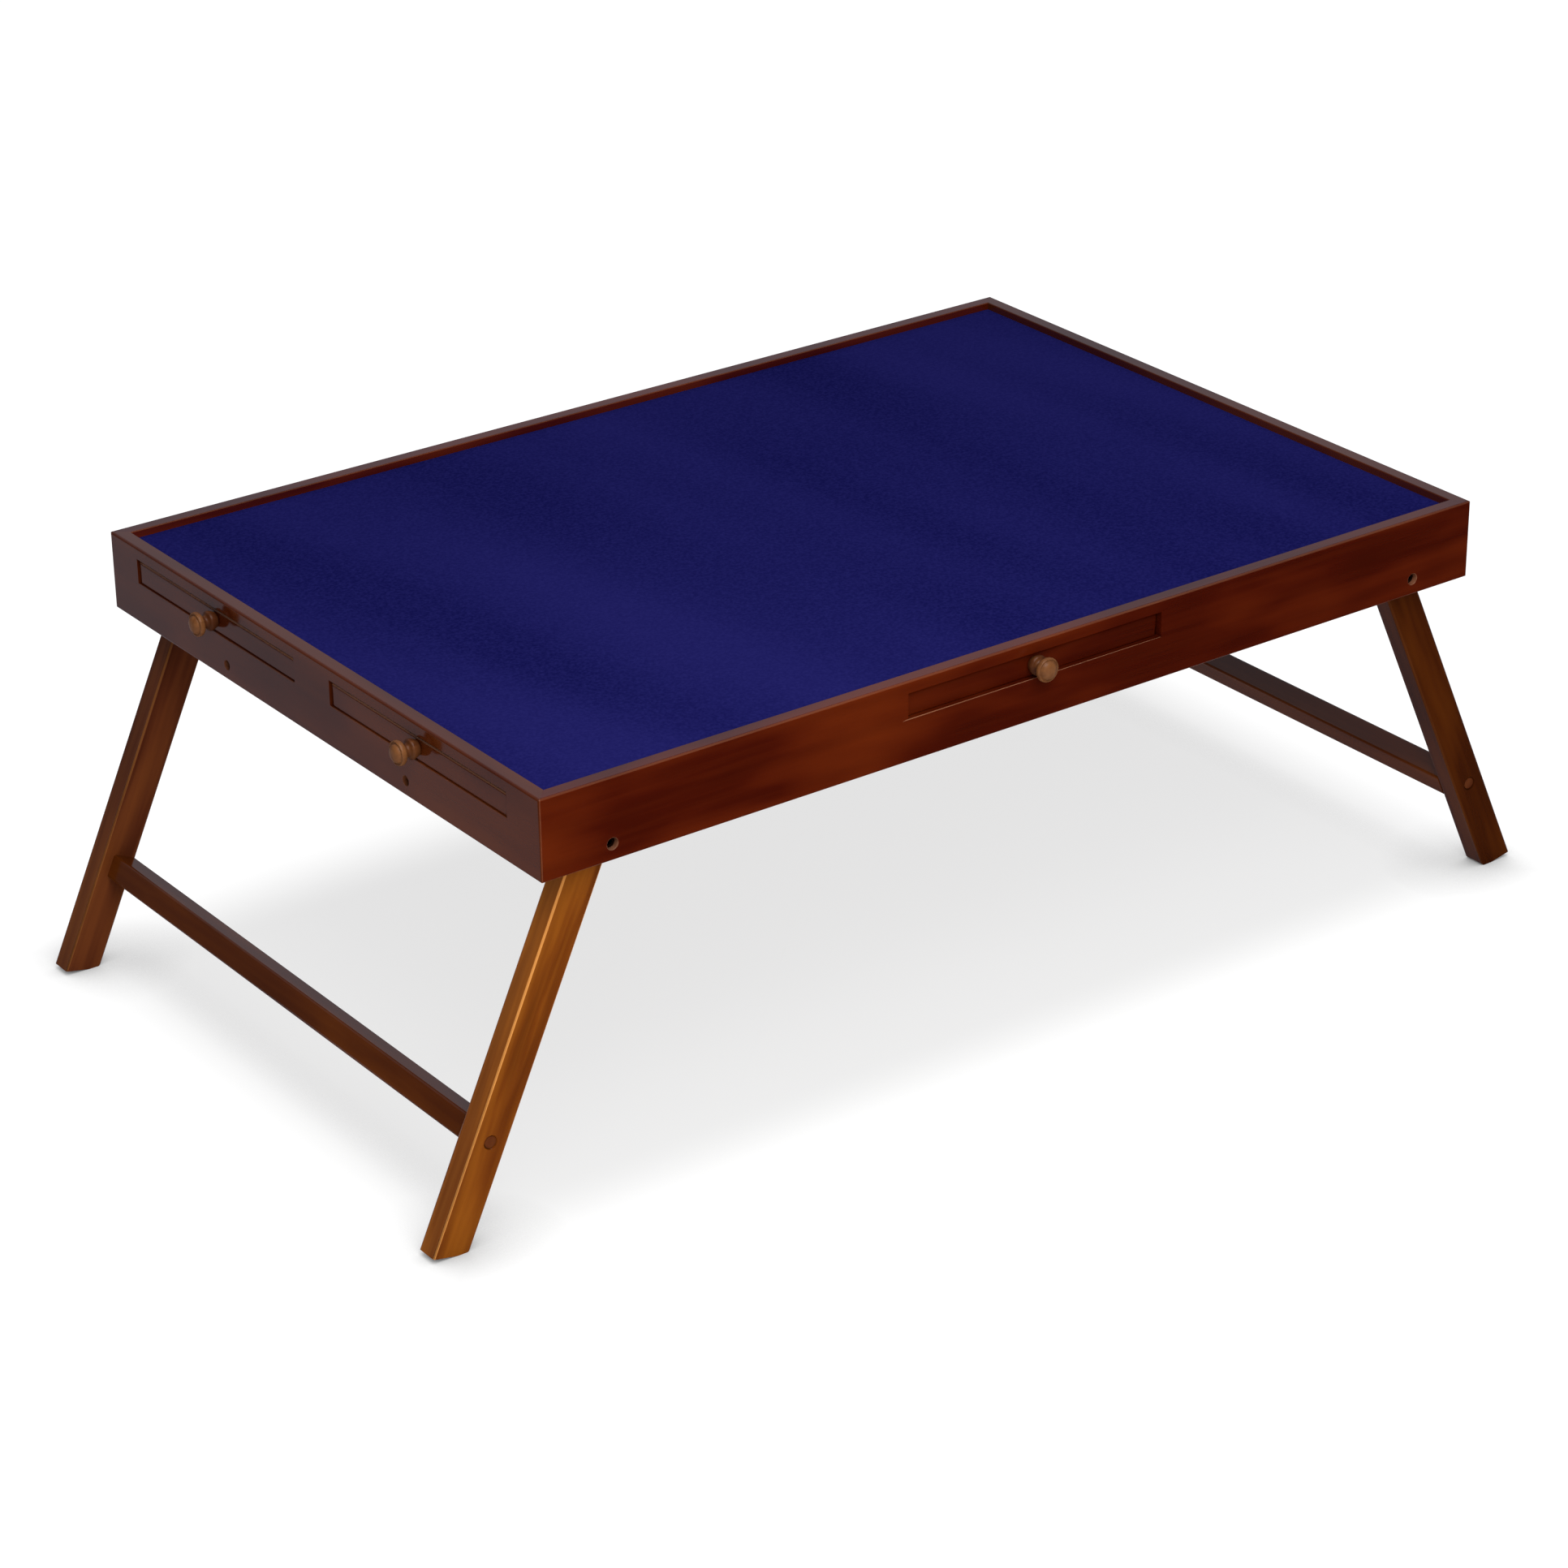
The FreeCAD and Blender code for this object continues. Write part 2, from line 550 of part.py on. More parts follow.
def make_drawers():
    side = (SIDE_OPENING_WIDTH, side_drawer_depth, SIDE_DRAWER_INSET)
    end = (end_opening_width, end_drawer_depth, END_DRAWER_INSET)
    face_x = half_length - END_DRAWER_INSET
    face_y = half_width - SIDE_DRAWER_INSET
    offset = end_opening_offset
    places = [
        ("front_drawer", 0, vec(0, -face_y, sill), side),
        ("back_drawer", 180, vec(0, face_y, sill), side),
        ("left_front_drawer", -90, vec(-face_x, -offset, sill), end),
        ("left_back_drawer", -90, vec(-face_x, offset, sill), end),
        ("right_front_drawer", 90, vec(face_x, -offset, sill), end),
        ("right_back_drawer", 90, vec(face_x, offset, sill), end),
    ]
    nodes = {}
    guides = []
    stops = []
    for name, angle, place, sizes in places:
        opening, depth, inset = sizes
        width = opening - 2 * DRAWER_SIDE_GAP
        pieces = {
            "front": drawer_front(width),
            "walls": drawer_walls(width, depth),
            "bottom": drawer_bottom(width, depth),
            "knob": knob(),
            "knob_screw": knob_screw(),
        }
        for piece, shape in pieces.items():
            nodes[name + "_" + piece] = facing(shape, angle, place)
        pair, stop = drawer_runway(opening, depth, inset)
        guides += [facing(strip, angle, place) for strip in pair]
        stops.append(facing(stop, angle, place))
    nodes["drawer_guides"] = Part.Compound(guides)
    nodes["drawer_stops"] = Part.Compound(stops)
    return nodes


os.makedirs("parts", exist_ok=True)
table = {}
for group in (make_rails(), make_panels(), make_fastenings(), make_leg_frames(), make_drawers()):
    table.update(group)
for node, shape in table.items():
    shape.exportStep("parts/" + node + ".step")
    print(node, len(shape.Solids), "solids", round(shape.Volume / 1000, 2), "cm3", "valid", shape.isValid())
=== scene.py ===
# A low puzzle table in mahogany-stained wood: a mitred tray with navy felt sunk below its rim,
# shallow drawers with turned knobs, and splayed leg frames that fold flat underneath.
# Metres. X runs along the table, -Y is the front, +Z is up.
import math

import bmesh
import bpy
from mathutils import Euler, Matrix, Vector, noise


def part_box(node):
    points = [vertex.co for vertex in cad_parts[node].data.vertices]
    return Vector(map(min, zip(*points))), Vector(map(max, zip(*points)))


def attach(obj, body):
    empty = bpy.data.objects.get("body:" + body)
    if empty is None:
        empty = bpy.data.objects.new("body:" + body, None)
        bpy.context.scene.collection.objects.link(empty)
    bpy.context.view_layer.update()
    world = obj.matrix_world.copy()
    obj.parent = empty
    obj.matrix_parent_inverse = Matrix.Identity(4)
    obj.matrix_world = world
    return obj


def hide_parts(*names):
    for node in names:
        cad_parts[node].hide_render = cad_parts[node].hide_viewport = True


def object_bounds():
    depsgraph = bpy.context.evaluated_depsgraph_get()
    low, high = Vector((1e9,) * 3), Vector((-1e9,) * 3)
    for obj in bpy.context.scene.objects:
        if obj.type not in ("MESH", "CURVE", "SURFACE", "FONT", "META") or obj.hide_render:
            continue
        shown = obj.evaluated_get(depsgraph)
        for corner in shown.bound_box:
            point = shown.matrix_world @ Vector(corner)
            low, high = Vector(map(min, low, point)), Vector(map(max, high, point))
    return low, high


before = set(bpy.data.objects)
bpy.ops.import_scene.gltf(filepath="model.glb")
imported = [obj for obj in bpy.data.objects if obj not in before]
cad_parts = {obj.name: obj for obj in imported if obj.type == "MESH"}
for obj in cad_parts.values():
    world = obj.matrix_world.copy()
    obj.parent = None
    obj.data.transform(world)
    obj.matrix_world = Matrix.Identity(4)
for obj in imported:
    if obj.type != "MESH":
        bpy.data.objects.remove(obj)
cad_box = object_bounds()

MM = 0.001
SIDES = ("left", "right")
LONG_SIDE_DRAWERS = ("front_drawer", "back_drawer")
END_DRAWERS = ("left_front_drawer", "left_back_drawer", "right_front_drawer", "right_back_drawer")
DRAWERS = LONG_SIDE_DRAWERS + END_DRAWERS
SPLAY = math.radians(24.5)
RIM_TOP = cad_box[1].z
MIX_A, MIX_B, MIX_RESULT = 6, 7, 2


# Materials

ALONG_X = Euler((0, 0, 0))
ALONG_Y = Euler((0, 0, -math.pi / 2))
ALONG_LEFT_LEG = Euler((0, math.pi / 2 - SPLAY, 0))
ALONG_RIGHT_LEG = Euler((0, SPLAY - math.pi / 2, 0))
# The length and width in millimetres of one mark in a material.
STREAK = (130, 4.5)
# Real pores are under half a millimetre wide; they are drawn wider so that they show.
PORE = (14, 0.9)
BARE_STREAK = (220, 2.6)
BARE_FIBRE = (26, 0.8)
NAP_BAND = (620, 120)
BOARD_BLOTCH = (170, 44)
LEG_BLOTCH = (150, 15)
KNOB_BLOTCH = (30, 10)
# Single sizes in millimetres.
GROWTH_LINE = 10
RIM_FADE = 14
FELT_FUZZ = 2.4
METAL_CLOUD = 2.5
PAPER_MOTTLE = 300
# The heart of the tree from the plank's middle in metres, and how far growth lines are drawn out along it.
TREE_HEART = (0, 0.11, 0.05)
RING_STRETCH = (0.12, 1, 1)
# How far each mark in stained wood moves the tone at its strongest.
SPOT_LIFT = 0.2
RIM_LIFT = 0.07
STREAK_SHARE = 0.22
RING_SHARE = 0.13
PORE_SHARE = 0.18
# The weight and the roughness of the lacquer.
SATIN_COAT = (0.9, 0.12)
KNOB_COAT = (0.5, 0.35)
NAP_TURN = math.radians(-96)
# The shade under the table: half its length and width and half its soft edge in metres, and the glow there.
FLOOR_SHADE = (0.5, 0.29)
SHADE_EDGE = 0.06
SHADE_GLOW = 0.74
# How near a foot the paper's glow is cut to a painted contact shade in metres, and the rays that find it.
CONTACT_REACH = 0.07
CONTACT_RAYS = 4


def linear(colour):
    """An sRGB hex colour as linear RGBA."""
    channels = [int(colour[start:start + 2], 16) / 255 for start in (1, 3, 5)]
    return [c / 12.92 if c <= 0.04045 else ((c + 0.055) / 1.055) ** 2.4 for c in channels] + [1.0]


def add(tree, kind, inputs, **settings):
    """Add one shader node, with its settings and its inputs, each a value or an output to link."""
    made = tree.nodes.new("ShaderNode" + kind)
    for name, value in settings.items():
        setattr(made, name, value)
    for name, value in inputs.items():
        if isinstance(value, bpy.types.NodeSocket):
            tree.links.new(value, made.inputs[name])
        else:
            made.inputs[name].default_value = value
    return made


def start_material(name):
    """An empty material, its node tree and the place on the piece in metres."""
    material = bpy.data.materials.new(name)
    material.use_nodes = True
    tree = material.node_tree
    tree.nodes.clear()
    return material, tree, add(tree, "TexCoord", {}).outputs["Object"]


def surface(tree, inputs):
    """Close a material with one principled shader."""
    shader = add(tree, "BsdfPrincipled", inputs)
    add(tree, "OutputMaterial", {"Surface": shader.outputs["BSDF"]})


def streaks(tree, place, length, width, detail):
    """Noise drawn out along X: length and width of one streak in millimetres."""
    scale = (1 / (length * MM), 1 / (width * MM), 1 / (width * MM))
    drawn_out = add(tree, "Mapping", {"Vector": place, "Scale": scale})
    inputs = {"Vector": drawn_out.outputs["Vector"], "Scale": 1.0, "Detail": detail, "Roughness": 0.55}
    return add(tree, "TexNoise", inputs).outputs["Fac"]


def stained_wood(name, grain, tones, blotch, thin_and_lit_spots=(), coat=SATIN_COAT, cut=(0, 0, 0)):
    """Rubberwood, mahogany-stained and sprayed with satin lacquer.

    The eye sees broad soft blotches where the stain took unevenly, and faint streaks, growth lines and pores
    along the grain. Stain is rubbed thin on the arrises and in bored holes, and the same layer holds painted
    highlights on sills, arrises and the end drawers' edges, and painted light on the legs' outer sides. The
    tone lightens towards the rim's top, and a clear sheen takes on the room at a low angle. blotch is the
    length and width of one blotch in millimetres. thin_and_lit_spots lists where the stain is thin, and by
    the back left foot where light from the floor is painted, each a middle in metres and a radius in
    millimetres. coat is the weight and the roughness of the lacquer. cut is where in the plank's figure the
    piece was cut."""
    material, tree, place = start_material(name)
    dark, middle, light, worn = [linear(tone) for tone in tones]
    along = add(tree, "Mapping", {"Vector": place, "Rotation": grain, "Location": cut}).outputs["Vector"]
    thin = streaks(tree, along, *blotch, detail=2.0)
    streak = streaks(tree, along, *STREAK, detail=3.0)
    pore = streaks(tree, along, *PORE, detail=2.0)
    ring_place = add(tree, "Mapping", {"Vector": along, "Location": TREE_HEART, "Scale": RING_STRETCH})
    ring = add(tree, "TexWave", {
        "Vector": ring_place.outputs["Vector"], "Scale": 1 / (2 * math.pi * GROWTH_LINE * MM),
        "Distortion": 5.0, "Detail": 2.0, "Detail Scale": 0.6,
    }, wave_type="RINGS", rings_direction="X", wave_profile="SIN").outputs["Fac"]
    # Spots of thin stain, and by the back left foot painted light from the floor.
    for spot, radius in thin_and_lit_spots:
        away = add(tree, "VectorMath", {0: place, 1: spot}, operation="DISTANCE").outputs["Value"]
        lift = add(tree, "MapRange", {
            "Value": away, "From Min": radius * MM, "From Max": 0.0, "To Max": SPOT_LIFT,
        }, interpolation_type="SMOOTHSTEP").outputs["Result"]
        thin = add(tree, "Math", {0: thin, 1: lift}, operation="ADD").outputs["Value"]
    height = add(tree, "SeparateXYZ", {"Vector": place}).outputs["Z"]
    rim = add(tree, "MapRange", {
        "Value": height, "From Min": RIM_TOP - RIM_FADE * MM, "From Max": RIM_TOP, "To Max": RIM_LIFT,
    }).outputs["Result"]
    thin = add(tree, "Math", {0: thin, 1: rim}, operation="ADD").outputs["Value"]
    uneven = add(tree, "MapRange", {"Value": thin, "From Min": 0.25, "From Max": 0.6}).outputs["Result"]
    bright = add(tree, "MapRange", {"Value": thin, "From Min": 0.5, "From Max": 0.85}).outputs["Result"]
    lines = add(tree, "MapRange", {
        "Value": streak, "From Min": 0.4, "From Max": 0.74, "To Max": STREAK_SHARE,
    }).outputs["Result"]
    rings = add(tree, "MapRange", {"Value": ring, "From Min": 0.5, "To Max": RING_SHARE}).outputs["Result"]
    pores = add(tree, "MapRange", {
        "Value": pore, "From Min": 0.58, "From Max": 0.76, "To Max": PORE_SHARE,
    }).outputs["Result"]
    # One layer holds rubbed stain, painted highlights on arrises and sills, and painted light on the legs'
    # outer sides.
    wear_and_painted_light = add(tree, "Attribute", {}, attribute_name="wear_and_painted_light").outputs["Fac"]
    patchy = add(tree, "MapRange", {
        "Value": streak, "From Min": 0.3, "From Max": 0.6, "To Min": 0.6,
    }).outputs["Result"]
    rubbed = add(tree, "Math", {0: wear_and_painted_light, 1: patchy}, operation="MULTIPLY").outputs["Value"]
    colour = dark
    layers = (uneven, middle), (bright, light), (lines, light), (rings, dark), (pores, dark), (rubbed, worn)
    for share, tone in layers:
        mixed = add(tree, "Mix", {0: share, MIX_A: colour, MIX_B: tone}, data_type="RGBA")
        colour = mixed.outputs[MIX_RESULT]
    gloss = add(tree, "MapRange", {"Value": streak, "To Min": 0.36, "To Max": 0.52}).outputs["Result"]
    relief = add(tree, "Math", {0: pore, 1: streak}, operation="ADD").outputs["Value"]
    bump = add(tree, "Bump", {"Height": relief, "Strength": 0.04, "Distance": 0.2 * MM}, invert=True)
    surface(tree, {
        "Base Color": colour, "Roughness": gloss, "Normal": bump.outputs["Normal"],
        "Specular IOR Level": 0.0, "Coat Weight": coat[0], "Coat Roughness": coat[1], "Coat IOR": 1.5,
    })
    return material


def bare_wood(name, grain, early, late):
    """Planed softwood left bare inside the drawers: pale, matt, with darker growth lines along the grain."""
    material, tree, place = start_material(name)
    along = add(tree, "Mapping", {"Vector": place, "Rotation": grain}).outputs["Vector"]
    line = streaks(tree, along, *BARE_STREAK, detail=3.0)
    fibre = streaks(tree, along, *BARE_FIBRE, detail=2.0)
    tone = add(tree, "MapRange", {"Value": line, "From Min": 0.4, "From Max": 0.66}).outputs["Result"]
    grown = add(tree, "Mix", {0: tone, MIX_A: linear(early), MIX_B: linear(late)}, data_type="RGBA")
    bump = add(tree, "Bump", {"Height": fibre, "Strength": 0.2, "Distance": 0.2 * MM})
    rough = add(tree, "MapRange", {"Value": fibre, "To Min": 0.6, "To Max": 0.8}).outputs["Result"]
    surface(tree, {
        "Base Color": grown.outputs[MIX_RESULT], "Roughness": rough, "Normal": bump.outputs["Normal"],
        "IOR": 1.5, "Specular IOR Level": 0.3,
    })
    return material


def wool_felt():
    """Navy wool felt, pressed and not woven: matt, with a fuzz of fibres and a nap brushed in soft bands."""
    material, tree, place = start_material("navy_wool_felt")
    across = add(tree, "Mapping", {"Vector": place, "Rotation": Euler((0, 0, NAP_TURN))}).outputs["Vector"]
    nap = streaks(tree, across, *NAP_BAND, detail=1.0)
    fuzz = add(tree, "TexNoise", {
        "Vector": place, "Scale": 1 / (FELT_FUZZ * MM), "Detail": 3.0,
    }).outputs["Fac"]
    lie = add(tree, "MapRange", {"Value": nap, "From Min": 0.34, "From Max": 0.66}).outputs["Result"]
    napped = add(tree, "Mix", {0: lie, MIX_A: linear("#121249"), MIX_B: linear("#1c1b58")}, data_type="RGBA")
    lift = add(tree, "MapRange", {
        "Value": fuzz, "From Min": 0.35, "From Max": 0.75, "To Max": 0.5,
    }).outputs["Result"]
    fuzzy = add(tree, "Mix", {
        0: lift, MIX_A: napped.outputs[MIX_RESULT], MIX_B: linear("#282769"),
    }, data_type="RGBA")
    bump = add(tree, "Bump", {"Height": fuzz, "Strength": 0.3, "Distance": 0.4 * MM})
    surface(tree, {
        "Base Color": fuzzy.outputs[MIX_RESULT], "Roughness": 0.95, "Normal": bump.outputs["Normal"],
        "Specular IOR Level": 0.0,
        "Sheen Weight": 0.05, "Sheen Roughness": 0.5, "Sheen Tint": linear("#3a3aa0"),
    })
    return material


def pressed_board(name, pale, deep, speck):
    """Hardboard, fibres pressed with resin: a brown sheet with a fine mottle and a faint polish."""
    material, tree, place = start_material(name)
    mottle = add(tree, "TexNoise", {"Vector": place, "Scale": 1 / (speck * MM), "Detail": 5.0}).outputs["Fac"]
    tone = add(tree, "MapRange", {"Value": mottle, "From Min": 0.35, "From Max": 0.65}).outputs["Result"]
    mottled = add(tree, "Mix", {0: tone, MIX_A: linear(deep), MIX_B: linear(pale)}, data_type="RGBA")
    bump = add(tree, "Bump", {"Height": mottle, "Strength": 0.15, "Distance": 0.2 * MM})
    rough = add(tree, "MapRange", {"Value": mottle, "To Min": 0.5, "To Max": 0.7}).outputs["Result"]
    surface(tree, {
        "Base Color": mottled.outputs[MIX_RESULT], "Roughness": rough, "Normal": bump.outputs["Normal"],
    })
    return material


def steel(name, dull, bright):
    """Plated steel, drawn then dulled by handling: grey or brown metal with a cloudy polish."""
    material, tree, place = start_material(name)
    cloud = add(tree, "TexNoise", {
        "Vector": place, "Scale": 1 / (METAL_CLOUD * MM), "Detail": 3.0,
    }).outputs["Fac"]
    tone = add(tree, "Mix", {0: cloud, MIX_A: linear(dull), MIX_B: linear(bright)}, data_type="RGBA")
    rough = add(tree, "MapRange", {"Value": cloud, "To Min": 0.28, "To Max": 0.5}).outputs["Result"]
    surface(tree, {"Base Color": tone.outputs[MIX_RESULT], "Metallic": 1.0, "Roughness": rough})
    return material


def paper():
    """The pale floor: matt white paper with the faintest mottle, lit through.

    The eye sees a painted soft grey shadow on it under the table and painted contact shade round each foot."""
    material, tree, place = start_material("white_paper")
    mottle = add(tree, "TexNoise", {
        "Vector": place, "Scale": 1 / (PAPER_MOTTLE * MM), "Detail": 2.0,
    }).outputs["Fac"]
    tone = add(tree, "Mix", {0: mottle, MIX_A: linear("#6c6c6b"), MIX_B: linear("#707070")}, data_type="RGBA")
    off_middle = add(tree, "VectorMath", {0: place}, operation="ABSOLUTE").outputs["Vector"]
    off = add(tree, "SeparateXYZ", {"Vector": off_middle}).outputs
    past_end = add(tree, "Math", {0: off["X"], 1: FLOOR_SHADE[0]}, operation="SUBTRACT").outputs["Value"]
    past_side = add(tree, "Math", {0: off["Y"], 1: FLOOR_SHADE[1]}, operation="SUBTRACT").outputs["Value"]
    past = add(tree, "Math", {0: past_end, 1: past_side}, operation="MAXIMUM").outputs["Value"]
    glow = add(tree, "MapRange", {
        "Value": past, "From Min": -SHADE_EDGE, "From Max": SHADE_EDGE, "To Min": SHADE_GLOW, "To Max": 1.0,
    }, interpolation_type="SMOOTHSTEP").outputs["Result"]
    # Painted contact shade: the glow is cut where parts come near the paper.
    contact_shade = add(tree, "AmbientOcclusion", {"Distance": CONTACT_REACH}, samples=CONTACT_RAYS).outputs["AO"]
    glow = add(tree, "Math", {0: glow, 1: contact_shade}, operation="MULTIPLY").outputs["Value"]
    surface(tree, {
        "Base Color": tone.outputs[MIX_RESULT], "Roughness": 0.9, "Specular IOR Level": 0.1,
        "Emission Color": linear("#ffffff"), "Emission Strength": glow,
    })
    return material


# Each wood's deep, middle, light and rubbed tone.
LONG_RAIL_TONES = ("#300802", "#430e03", "#602106", "#c08a68")
END_RAIL_TONES = ("#351004", "#461a08", "#582608", "#b88462")
STRETCHER_TONES = ("#3e1805", "#522407", "#663209", "#a8703c")
GOLDEN_TONES = ("#542509", "#7a3d0e", "#985816", "#e2984e")
LEFT_LEG_TONES = ("#3c170a", "#552814", "#6a3818", "#b8783c")
RIGHT_LEG_TONES = ("#2f1004", "#421a05", "#562806", "#8a5630")
KNOB_TONES = ("#38190c", "#502a14", "#643c20", "#8a5a34")
PINE_TONES = ("#d8b98a", "#b98f5a")
# Where the stain is thin, and by the back left foot where light from the floor is painted:
# a middle in metres and a radius in millimetres.
FRONT_LEFT_CORNER = ((-0.43, -0.295, 0.312), 75)
FRONT_MIDDLE_TOP = ((-0.16, -0.295, 0.338), 110)
LEFT_END_CORNER = ((-0.43, -0.23, 0.31), 150)
GOLDEN_TOP = ((-0.425, -0.24, 0.26), 90)
BACK_LEFT_FOOT_PAINTED_LIGHT = ((-0.5, 0.27, 0.04), 110)
GOLDEN_CUT = (0.41, 0.376, 0.276)
HARDBOARD_SPECK = 3.0

long_rail_wood = stained_wood(
    "stained_rubberwood_long_rails", ALONG_X, LONG_RAIL_TONES, BOARD_BLOTCH,
    (FRONT_LEFT_CORNER, FRONT_MIDDLE_TOP),
)
end_rail_wood = stained_wood(
    "stained_rubberwood_end_rails", ALONG_Y, END_RAIL_TONES, BOARD_BLOTCH, (LEFT_END_CORNER,),
)
stretcher_wood = stained_wood("stained_rubberwood_stretcher", ALONG_Y, STRETCHER_TONES, BOARD_BLOTCH)
golden_leg_wood = stained_wood(
    "stained_rubberwood_golden_leg", ALONG_LEFT_LEG, GOLDEN_TONES, LEG_BLOTCH, (GOLDEN_TOP,), cut=GOLDEN_CUT,
)
# The left legs get painted light from the floor near the back foot.
left_leg_wood = stained_wood(
    "stained_rubberwood_left_legs", ALONG_LEFT_LEG, LEFT_LEG_TONES, LEG_BLOTCH, (BACK_LEFT_FOOT_PAINTED_LIGHT,),
)
right_leg_wood = stained_wood("stained_rubberwood_right_legs", ALONG_RIGHT_LEG, RIGHT_LEG_TONES, LEG_BLOTCH)
knob_wood_x = stained_wood("stained_rubberwood_end_knobs", ALONG_X, KNOB_TONES, KNOB_BLOTCH, coat=KNOB_COAT)
knob_wood_y = stained_wood("stained_rubberwood_side_knobs", ALONG_Y, KNOB_TONES, KNOB_BLOTCH, coat=KNOB_COAT)
inner_wood_x = bare_wood("bare_pine_along_table", ALONG_X, *PINE_TONES)
inner_wood_y = bare_wood("bare_pine_across_table", ALONG_Y, *PINE_TONES)
plywood = bare_wood("poplar_plywood", ALONG_X, "#dcc49a", "#c6a470")
deck_plywood = bare_wood("stained_poplar_plywood", ALONG_X, "#5c4a3c", "#4a382c")
hardboard = pressed_board("tempered_hardboard", "#8a6238", "#6a4526", HARDBOARD_SPECK)
felt = wool_felt()
zinc_steel = steel("zinc_plated_steel", "#6f6c66", "#a5a29b")
bronzed_steel = steel("bronzed_steel", "#2a211b", "#4a3a2e")


# Pieces

SAME_PLACE = 0.002 * MM
SAME_PLANE = math.radians(0.5)
SMOOTH_ANGLE = math.radians(50)
SHARP_ANGLE = math.radians(40)
CROWN_ANGLE = math.radians(20)
FACES_UP = 0.9
# The least share of a piece's surface that makes a flat side.
FLAT_SHARE = 0.008
# The longest edge and the largest facet that belong to a bored hole.
BORE_CHORD = 1.8 * MM
BORE_FACET = 9 * MM ** 2
EASE_SEGMENTS = 3
NORMAL_WEIGHT = 100
RAIL_EASE = 0.4 * MM
SILL_EASE = 0.5 * MM
BORE_EASE = 0.3 * MM
SMALL_EASE = 0.25 * MM
STEEL_EASE = 0.2 * MM
# Sills of openings lie lower than this.
SILL_TOP = RIM_TOP - 20 * MM
PLUG_SINK = 1.0 * MM
PLUG_FIT = 0.85
PLUG_SHIFT = Vector((0.4, 0, -0.3)) * MM
LOWER_EDGE = 3 * MM
DRAWER_FOOT_ROUND = 0.3
# How far the stain is rubbed off, from none at 0 to bare at 1; on sills this is a painted highlight.
LONG_RAIL_WEAR_AND_HIGHLIGHT = {"wear_and_painted_light": 0.12, "sill_painted_highlight": 0.4, "bore_wear": 0.3}
END_RAIL_WEAR_AND_HIGHLIGHT = {"wear_and_painted_light": 0.0, "sill_painted_highlight": 0.1, "bore_wear": 0.15}
# A painted highlight on the rounded edges of the end drawers' fronts.
END_DRAWER_PAINTED_HIGHLIGHT = 0.4
# Each leg's wood, how far its arrises are rubbed, which is partly a painted highlight,
# and the painted light on its outer side.
LEGS = {
    "left_front_leg": (golden_leg_wood, 0.9, 0.08),
    "left_back_leg": (left_leg_wood, 0.25, 0.05),
    "right_front_leg": (right_leg_wood, 0.1, 0.0),
    "right_back_leg": (right_leg_wood, 0.1, 0.0),
}
# Where the outer side of the left legs faces, which gets painted light; the right legs get none.
OUTER_SIDE = Vector((-math.cos(SPLAY), 0, math.sin(SPLAY)))


def new_piece(name, bm, material, body, slot, *stands_for):
    """Make a bmesh into a piece that rides on a body and stands for CAD nodes."""
    mesh = bpy.data.meshes.new(name)
    bm.to_mesh(mesh)
    bm.free()
    mesh.shade_smooth()
    mesh.set_sharp_from_angle(angle=SMOOTH_ANGLE)
    mesh.materials.append(material)
    piece = bpy.data.objects.new(name, mesh)
    bpy.context.scene.collection.objects.link(piece)
    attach(piece, body)
    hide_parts(*stands_for)
    return piece


def flat_sides(bm):
    """The directions that a piece's flat sides face: the axes, and wherever much of its surface faces."""
    areas = {}
    for face in bm.faces:
        direction = tuple(round(part, 2) for part in face.normal)
        areas[direction] = areas.get(direction, 0.0) + face.calc_area()
    least = FLAT_SHARE * sum(areas.values())
    along_axes = [sign * Vector(axis) for axis in Matrix.Identity(3) for sign in (-1, 1)]
    return along_axes + [Vector(direction) for direction, area in areas.items() if area > least]


def edge_kind(edge, has_sills):
    """Tell the rim of a bored hole, made of short chords, and the sill of an opening from a plain arris."""
    if edge.calc_length() < BORE_CHORD:
        return "bore"
    low = max(vert.co.z for vert in edge.verts) < SILL_TOP
    if has_sills and low and any(face.normal.z > FACES_UP for face in edge.link_faces):
        return "sill"
    return "arris"


